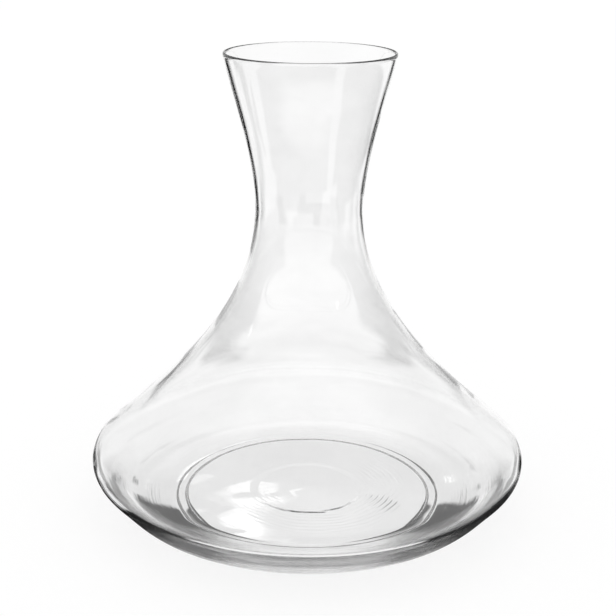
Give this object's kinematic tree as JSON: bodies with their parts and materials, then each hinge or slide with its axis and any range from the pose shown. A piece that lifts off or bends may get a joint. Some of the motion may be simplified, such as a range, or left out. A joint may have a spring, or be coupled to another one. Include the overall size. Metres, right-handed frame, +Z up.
{
  "type": "water carafe",
  "caption": "Clear blown-glass carafe with a wide low belly, a long concave shoulder, a waisted neck and a flared mouth, for serving water.",
  "frame": {"origin": "middle of the foot ring, on the surface that the carafe stands on", "axes": "+Z up along the axis of the vessel, from the foot to the mouth; X and Y are any two level directions, since the vessel is turned"},
  "size_m": [0.21, 0.21, 0.22],
  "materials": {
    "clear_glass": "clear, fire-polished"
  },
  "bodies": {
    "root": {"glass_body": "clear_glass"}
  },
  "joints": []
}
